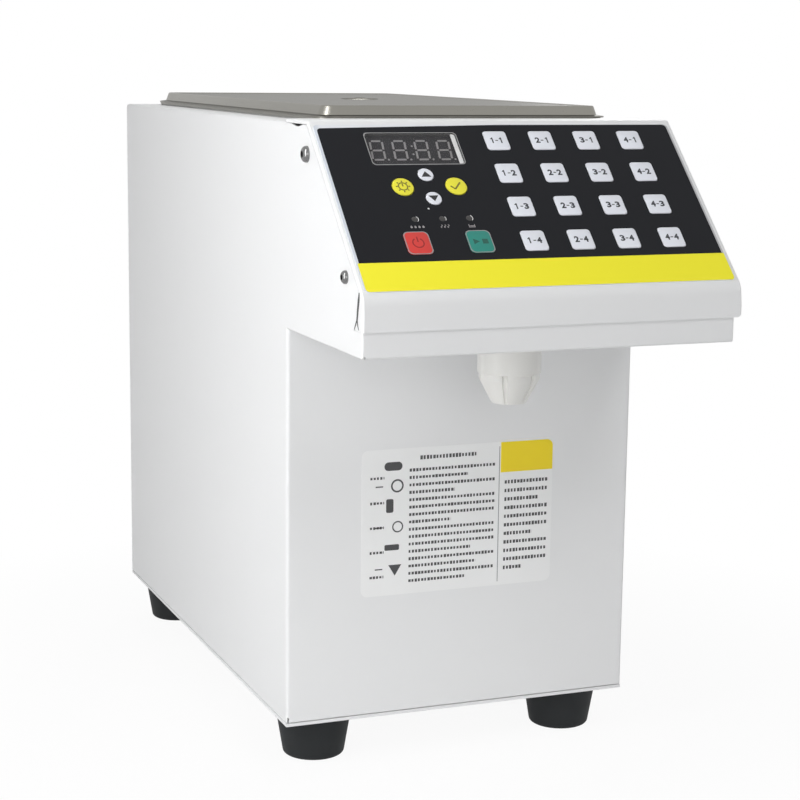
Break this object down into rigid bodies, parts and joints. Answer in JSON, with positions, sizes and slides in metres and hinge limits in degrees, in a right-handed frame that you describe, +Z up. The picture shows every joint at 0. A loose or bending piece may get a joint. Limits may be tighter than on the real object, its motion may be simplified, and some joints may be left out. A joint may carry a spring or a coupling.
{
  "type": "fructose dispenser",
  "caption": "Countertop syrup dispenser: white sheet casing, steel hopper with lid, sloping keypad head with numbered keys, screw-on nozzle over a cup space.",
  "frame": {"origin": "middle of the whole footprint, on the surface the feet stand on", "axes": "+Z up, the front with the keypad and nozzle faces -Y, +X to the right as seen from the front"},
  "size_m": [0.2194, 0.481, 0.3793],
  "materials": {
    "white_enamel": "smooth white powder coat, semi-gloss",
    "foot_rubber": "matte black moulded rubber",
    "overlay_film": "printed polyester film, fine matte texture, yellow band below",
    "clear_film": "clear polyester window",
    "display_grey": "grey display face with unlit segments",
    "lamp_plastic": "unlit smoked lamp",
    "switch_plastic": "black moulded plastic",
    "rocker_plastic": "black gloss rocker",
    "board_laminate": "green circuit laminate",
    "screw_chrome": "bright plated screw",
    "label_film": "satin white label with a yellow block and grey print",
    "hopper_steel": "brushed stainless steel",
    "gasket_silicone": "grey silicone",
    "hose_silicone": "translucent white silicone hose",
    "heater_silicone": "orange silicone heating mat",
    "float_plastic": "white moulded float",
    "pump_alloy": "machined alloy",
    "supply_alloy": "folded alloy case",
    "bracket_steel": "plated steel",
    "gear_steel": "ground steel",
    "motor_steel": "plated motor can",
    "spring_steel": "stainless spring wire",
    "nozzle_plastic": "ivory white moulded plastic",
    "key_white": "white key film with dark numerals",
    "key_yellow": "yellow key film",
    "key_red": "red key film",
    "key_green": "green key film"
  },
  "bodies": {
    "casing": {"outer_shell": "white_enamel", "rear_panel": "white_enamel", "base_plate": "white_enamel", "head_housing": "white_enamel", "control_cover": "white_enamel", "feet": "foot_rubber", "keypad_overlay": "overlay_film", "display_window": "clear_film", "display_module": "display_grey", "indicator_lamps": "lamp_plastic", "tact_switches": "switch_plastic", "control_board": "board_laminate", "cover_screws": "screw_chrome", "body_screws": "screw_chrome", "label_sticker": "label_film", "hopper_tank": "hopper_steel", "hopper_gasket": "gasket_silicone", "level_stem": "hopper_steel", "heater_pad": "heater_silicone", "pump_body": "pump_alloy", "pump_cover": "pump_alloy", "pump_bracket": "bracket_steel", "gear_motor": "motor_steel", "suction_hose": "hose_silicone", "delivery_hose": "hose_silicone", "nozzle_seat": "nozzle_plastic", "power_supply": "supply_alloy", "mains_inlet": "switch_plastic", "switch_frame": "switch_plastic"},
    "lid": {"hopper_lid": "hopper_steel"},
    "float": {"level_float": "float_plastic"},
    "drive_gear": {"drive_gear": "gear_steel"},
    "idler_gear": {"idler_gear": "gear_steel"},
    "rocker": {"switch_rocker": "rocker_plastic"},
    "nozzle_cap": {"nozzle_cap": "nozzle_plastic"},
    "valve_plug": {"valve_plug": "nozzle_plastic"},
    "nozzle_carrier": {"valve_spring": "spring_steel", "nozzle_o_ring": "gasket_silicone"},
    "key_1_1": {"key_1_1": "key_white"},
    "key_2_1": {"key_2_1": "key_white"},
    "key_3_1": {"key_3_1": "key_white"},
    "key_4_1": {"key_4_1": "key_white"},
    "key_1_2": {"key_1_2": "key_white"},
    "key_2_2": {"key_2_2": "key_white"},
    "key_3_2": {"key_3_2": "key_white"},
    "key_4_2": {"key_4_2": "key_white"},
    "key_1_3": {"key_1_3": "key_white"},
    "key_2_3": {"key_2_3": "key_white"},
    "key_3_3": {"key_3_3": "key_white"},
    "key_4_3": {"key_4_3": "key_white"},
    "key_1_4": {"key_1_4": "key_white"},
    "key_2_4": {"key_2_4": "key_white"},
    "key_3_4": {"key_3_4": "key_white"},
    "key_4_4": {"key_4_4": "key_white"},
    "key_set": {"key_set": "key_yellow"},
    "key_save": {"key_save": "key_yellow"},
    "key_up": {"key_up": "key_white"},
    "key_down": {"key_down": "key_white"},
    "key_power": {"key_power": "key_red"},
    "key_dispense": {"key_dispense": "key_green"}
  },
  "joints": [
    {"name": "lid_lift", "type": "slide", "parent": "casing", "child": "lid", "axis": [0, 0, 1], "range_m": [0, 0.08]},
    {"name": "float_rise", "type": "slide", "parent": "casing", "child": "float", "axis": [0, 0, 1], "range_m": [0, 0.025]},
    {"name": "pump_drive_spin", "type": "hinge", "parent": "casing", "child": "drive_gear", "pos_m": [0, -0.06, 0.095], "axis": [0, 1, 0], "continuous": true},
    {"name": "pump_idler_spin", "type": "hinge", "parent": "casing", "child": "idler_gear", "pos_m": [0, -0.06, 0.115], "axis": [0, 1, 0], "continuous": true},
    {"name": "power_rocker", "type": "hinge", "parent": "casing", "child": "rocker", "pos_m": [-0.014, 0.233, 0.072], "axis": [1, 0, 0], "range_deg": [-16, 0]},
    {"name": "nozzle_drop", "type": "slide", "parent": "casing", "child": "nozzle_carrier", "axis": [0, 0, -1], "range_m": [0, 0.0121]},
    {"name": "nozzle_turn", "type": "hinge", "parent": "nozzle_carrier", "child": "nozzle_cap", "pos_m": [0, -0.182, 0.24], "axis": [0, 0, -1], "range_deg": [0, 1080]},
    {"name": "valve_open", "type": "slide", "parent": "nozzle_carrier", "child": "valve_plug", "axis": [0, 0, -1], "range_m": [0, 0.004], "stiffness_N_per_m": 150, "springref_m": -0.004, "deforming": ["valve_spring"]},
    {"name": "key_1_1_press", "type": "slide", "parent": "casing", "child": "key_1_1", "axis": [0, 0.7009, -0.7133], "range_m": [0, 0.0005], "stiffness_N_per_m": 300, "springref_m": -0.0015},
    {"name": "key_2_1_press", "type": "slide", "parent": "casing", "child": "key_2_1", "axis": [0, 0.7009, -0.7133], "range_m": [0, 0.0005], "stiffness_N_per_m": 300, "springref_m": -0.0015},
    {"name": "key_3_1_press", "type": "slide", "parent": "casing", "child": "key_3_1", "axis": [0, 0.7009, -0.7133], "range_m": [0, 0.0005], "stiffness_N_per_m": 300, "springref_m": -0.0015},
    {"name": "key_4_1_press", "type": "slide", "parent": "casing", "child": "key_4_1", "axis": [0, 0.7009, -0.7133], "range_m": [0, 0.0005], "stiffness_N_per_m": 300, "springref_m": -0.0015},
    {"name": "key_1_2_press", "type": "slide", "parent": "casing", "child": "key_1_2", "axis": [0, 0.7009, -0.7133], "range_m": [0, 0.0005], "stiffness_N_per_m": 300, "springref_m": -0.0015},
    {"name": "key_2_2_press", "type": "slide", "parent": "casing", "child": "key_2_2", "axis": [0, 0.7009, -0.7133], "range_m": [0, 0.0005], "stiffness_N_per_m": 300, "springref_m": -0.0015},
    {"name": "key_3_2_press", "type": "slide", "parent": "casing", "child": "key_3_2", "axis": [0, 0.7009, -0.7133], "range_m": [0, 0.0005], "stiffness_N_per_m": 300, "springref_m": -0.0015},
    {"name": "key_4_2_press", "type": "slide", "parent": "casing", "child": "key_4_2", "axis": [0, 0.7009, -0.7133], "range_m": [0, 0.0005], "stiffness_N_per_m": 300, "springref_m": -0.0015},
    {"name": "key_1_3_press", "type": "slide", "parent": "casing", "child": "key_1_3", "axis": [0, 0.7009, -0.7133], "range_m": [0, 0.0005], "stiffness_N_per_m": 300, "springref_m": -0.0015},
    {"name": "key_2_3_press", "type": "slide", "parent": "casing", "child": "key_2_3", "axis": [0, 0.7009, -0.7133], "range_m": [0, 0.0005], "stiffness_N_per_m": 300, "springref_m": -0.0015},
    {"name": "key_3_3_press", "type": "slide", "parent": "casing", "child": "key_3_3", "axis": [0, 0.7009, -0.7133], "range_m": [0, 0.0005], "stiffness_N_per_m": 300, "springref_m": -0.0015},
    {"name": "key_4_3_press", "type": "slide", "parent": "casing", "child": "key_4_3", "axis": [0, 0.7009, -0.7133], "range_m": [0, 0.0005], "stiffness_N_per_m": 300, "springref_m": -0.0015},
    {"name": "key_1_4_press", "type": "slide", "parent": "casing", "child": "key_1_4", "axis": [0, 0.7009, -0.7133], "range_m": [0, 0.0005], "stiffness_N_per_m": 300, "springref_m": -0.0015},
    {"name": "key_2_4_press", "type": "slide", "parent": "casing", "child": "key_2_4", "axis": [0, 0.7009, -0.7133], "range_m": [0, 0.0005], "stiffness_N_per_m": 300, "springref_m": -0.0015},
    {"name": "key_3_4_press", "type": "slide", "parent": "casing", "child": "key_3_4", "axis": [0, 0.7009, -0.7133], "range_m": [0, 0.0005], "stiffness_N_per_m": 300, "springref_m": -0.0015},
    {"name": "key_4_4_press", "type": "slide", "parent": "casing", "child": "key_4_4", "axis": [0, 0.7009, -0.7133], "range_m": [0, 0.0005], "stiffness_N_per_m": 300, "springref_m": -0.0015},
    {"name": "key_set_press", "type": "slide", "parent": "casing", "child": "key_set", "axis": [0, 0.7009, -0.7133], "range_m": [0, 0.0005], "stiffness_N_per_m": 300, "springref_m": -0.0015},
    {"name": "key_save_press", "type": "slide", "parent": "casing", "child": "key_save", "axis": [0, 0.7009, -0.7133], "range_m": [0, 0.0005], "stiffness_N_per_m": 300, "springref_m": -0.0015},
    {"name": "key_up_press", "type": "slide", "parent": "casing", "child": "key_up", "axis": [0, 0.7009, -0.7133], "range_m": [0, 0.0005], "stiffness_N_per_m": 300, "springref_m": -0.0015},
    {"name": "key_down_press", "type": "slide", "parent": "casing", "child": "key_down", "axis": [0, 0.7009, -0.7133], "range_m": [0, 0.0005], "stiffness_N_per_m": 300, "springref_m": -0.0015},
    {"name": "key_power_press", "type": "slide", "parent": "casing", "child": "key_power", "axis": [0, 0.7009, -0.7133], "range_m": [0, 0.0005], "stiffness_N_per_m": 300, "springref_m": -0.0015},
    {"name": "key_dispense_press", "type": "slide", "parent": "casing", "child": "key_dispense", "axis": [0, 0.7009, -0.7133], "range_m": [0, 0.0005], "stiffness_N_per_m": 300, "springref_m": -0.0015}
  ],
  "couplings": [
    {"joint": "pump_idler_spin", "follows": "pump_drive_spin", "ratio": -1},
    {"joint": "nozzle_drop", "follows": "nozzle_turn", "m_per_rad": 0.00063662}
  ]
}
